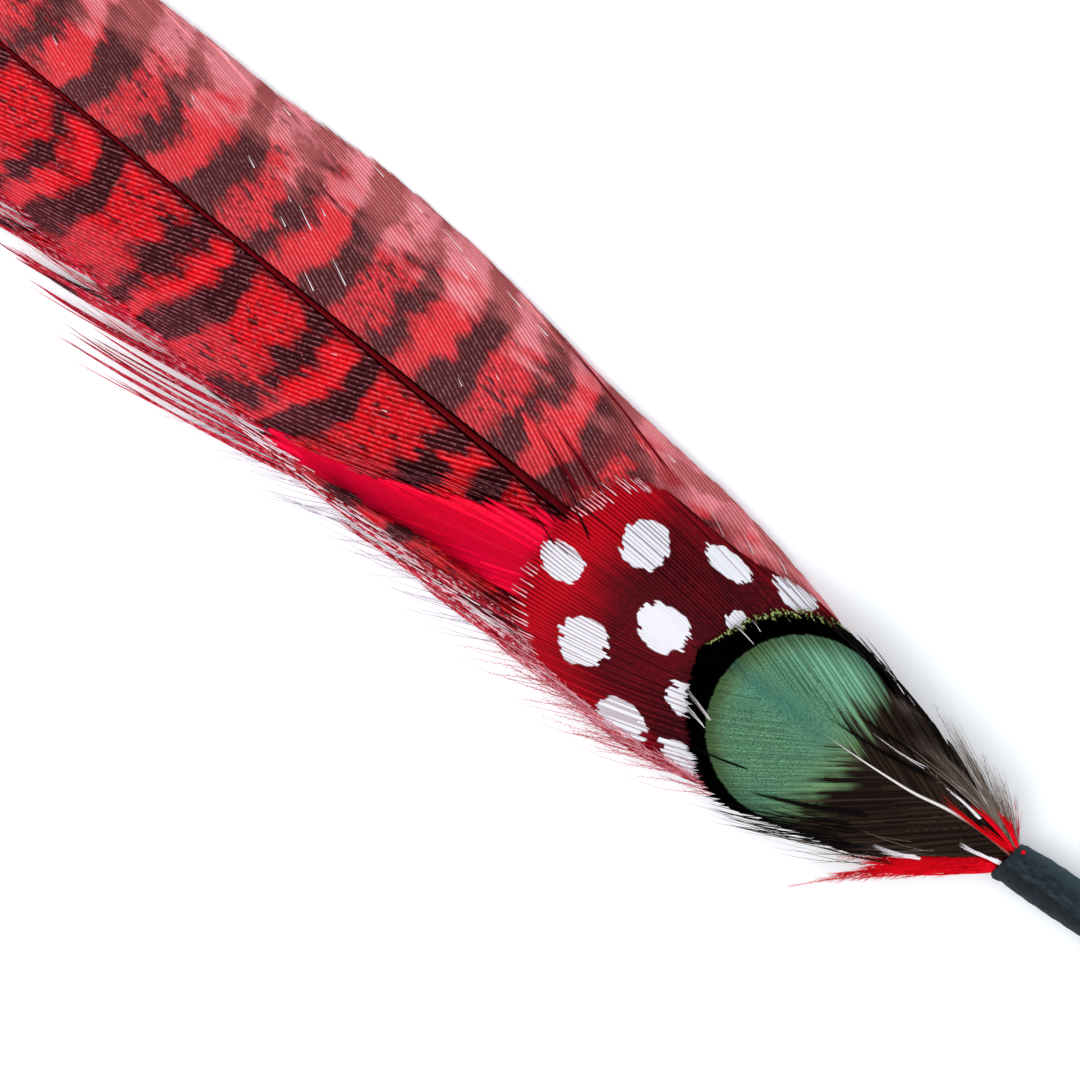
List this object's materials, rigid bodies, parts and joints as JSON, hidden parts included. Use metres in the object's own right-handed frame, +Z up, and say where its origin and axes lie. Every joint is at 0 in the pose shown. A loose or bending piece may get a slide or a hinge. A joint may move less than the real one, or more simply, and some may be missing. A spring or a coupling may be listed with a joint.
{
  "type": "pheasant tail feather trim",
  "caption": "Slim hat trim: a red-dyed barred pheasant tail feather with a spotted, a plain red and a black-edged green feather bound over its foot by a taped stem.",
  "frame": {"origin": "on the flat underside of the taped stem, halfway along its length", "axes": "+X along the trim towards the tail feather's tip, +Y towards the tail feather's side with the loose barbs, +Z up, away from the surface it lies on"},
  "size_m": [0.2009, 0.0287, 0.0045],
  "materials": {
    "stem_tape": "matt crepe florist's tape, charcoal",
    "tail_feather": "red-dyed pheasant tail vane with dark bars, silky along the barbs",
    "plain_red_feather": "plain crimson-dyed vane, smooth",
    "guinea_feather": "dark red-dyed guinea fowl vane with white spots",
    "green_feather": "metallic green vane with a velvety black edge and a brown foot",
    "red_down": "bright red fluff"
  },
  "bodies": {
    "root": {"stem_wrap": "stem_tape", "tail_feather": "tail_feather", "plain_red_feather": "plain_red_feather", "guinea_feather": "guinea_feather", "green_feather": "green_feather", "red_down": "red_down"}
  },
  "joints": []
}
